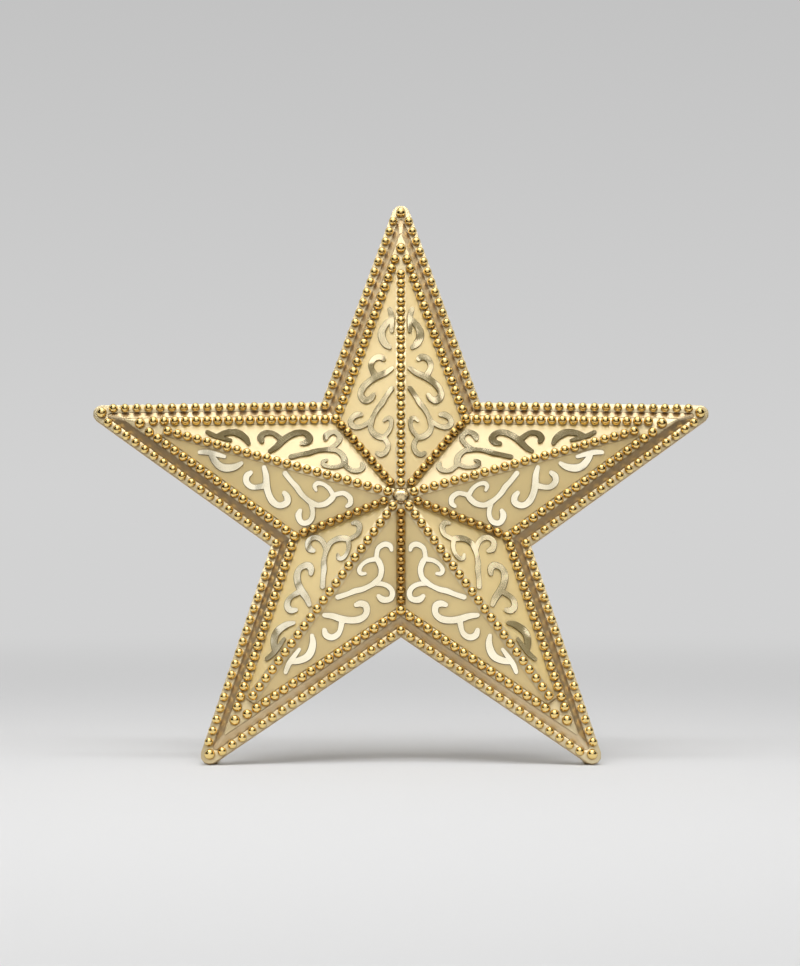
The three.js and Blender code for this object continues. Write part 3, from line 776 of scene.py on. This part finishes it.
# Studio lights: a large overhead panel, a long panel high behind the camera, weaker ones at the sides and
# the back. Dark, olive and pale cards stand round the star for the polished metal to mirror. Only the ones
# that shade come between the star and a lamp.
star_middle = Vector((0, -0.02, 0.13))


def aim(item, place, target):
    item.location = place
    item.rotation_euler = (Vector(target) - Vector(place)).to_track_quat("-Z", "Y").to_euler()


def light_panel(name, place, width, height, power):
    lamp = bpy.data.lights.new(name, "AREA")
    lamp.shape = "RECTANGLE"
    lamp.size = width
    lamp.size_y = height
    lamp.energy = power
    panel = link_object(name, lamp)
    aim(panel, place, star_middle)
    panel.visible_camera = False


light_panel("overhead_panel", (-0.05, -0.37, 1.32), 1.1, 0.9, 15)
light_panel("back_panel", (0, 0.16, 1.3), 1.0, 0.35, 1.0)
light_panel("front_panel", (0, -3.25, 1.14), 3.25, 1.84, 9.8)
light_panel("left_panel", (-0.80, -0.87, 1.22), 1.0, 0.8, 1.05)
light_panel("left_side_panel", (-0.97, -0.26, 1.14), 1.0, 0.8, 0.75)
light_panel("right_side_panel", (0.97, -0.26, 1.14), 1.0, 0.8, 0.5)


def studio_card(name, place, width, height, target, shades, paint):
    bpy.ops.mesh.primitive_plane_add(size=1, location=(0, 0, 0))
    card = bpy.context.object
    card.name = name
    card.scale = (width, height, 1)
    aim(card, place, target)
    card.data.materials.append(paint)
    card.visible_camera = False
    card.visible_diffuse = False
    card.visible_shadow = shades


def matt_paint(name, color, glow=0.0):
    material = bpy.data.materials.new(name)
    material.use_nodes = True
    shader = material.node_tree.nodes["Principled BSDF"]
    shader.inputs["Base Color"].default_value = (*color, 1)
    shader.inputs["Specular IOR Level"].default_value = 0
    shader.inputs["Emission Color"].default_value = (*color, 1)
    shader.inputs["Emission Strength"].default_value = glow
    return material


black_paint = matt_paint("black_paint", (0.03, 0.025, 0.02))
brown_paint = matt_paint("brown_paint", (0.17, 0.11, 0.055))
olive_paint = matt_paint("olive_paint", (0.38, 0.32, 0.19))
cream_paint = matt_paint("cream_paint", (0.85, 0.80, 0.66), 0.35)
pale_paint = matt_paint("pale_paint", (0.85, 0.80, 0.68), 0.8)
for side_name, side in (("left", -1), ("right", 1)):
    above = (0.36 * side, -0.285, 1.05)
    studio_card(f"upper_card_{side_name}", above, 0.6, 0.32, (0.36 * side, 0, 0.15), True, olive_paint)
    near, far = (0.375 * side, -0.12, 0.3), (0.95 * side, -0.35, 0.27)
    front, low = (0.6 * side, -1.0, 0.72), (0.7 * side, -0.8, 0.13)
    studio_card(f"near_card_{side_name}", near, 0.22, 0.34, (0.075 * side, -0.03, 0.055), True, black_paint)
    studio_card(f"far_card_{side_name}", far, 1.2, 0.5, star_middle, False, black_paint)
    studio_card(f"front_card_{side_name}", front, 0.35, 0.3, star_middle, False, black_paint)
    studio_card(f"low_card_{side_name}", low, 0.46, 0.34, star_middle, False, black_paint)
    crest, streak = (0.59 * side, -0.61, 1.04), (0.545 * side, -0.56, 0.97)
    studio_card(f"crest_card_{side_name}", crest, 0.22, 0.26, (0, 0, 0.2), True, pale_paint)
    studio_card(f"streak_card_{side_name}", streak, 0.035, 0.34, (0, 0, 0.2), True, olive_paint)
    lying, below = (0.8 * side, -0.85, 0.006), (0.8 * side, -0.85, -1)
    studio_card(f"floor_card_{side_name}", lying, 0.7, 1.0, below, False, black_paint)
studio_card("top_card", (0, -0.285, 1.05), 0.118, 0.32, (0, 0, 0.15), True, cream_paint)
studio_card("pale_card", (0.80, -0.87, 1.22), 0.8, 0.6, star_middle, False, pale_paint)
studio_card("left_card", (-0.66, -0.63, 0.72), 0.16, 0.1, star_middle, False, olive_paint)
studio_card("right_card", (0.66, -0.66, 0.77), 0.13, 0.1, star_middle, False, olive_paint)
studio_card("middle_card", (0, -2.0, 0.46), 0.5, 0.32, star_middle, True, black_paint)
studio_card("floor_card", (0, -0.90, 0.003), 2.6, 1.38, (0, -0.90, -1), False, brown_paint)

# Camera: level, at the height of the star's middle, with a long lens.
camera = bpy.data.cameras.new("camera")
camera.sensor_fit = "AUTO"
camera.sensor_width = 36
camera.lens = 127.5
camera.clip_start = 0.1
camera.clip_end = 50
viewpoint = link_object("camera", camera)
viewpoint.location = (-0.00045, -1.665, 0.1335)
viewpoint.rotation_euler = (math.pi / 2, 0, 0)
bpy.context.scene.camera = viewpoint
bpy.context.scene.view_settings.view_transform = "Standard"
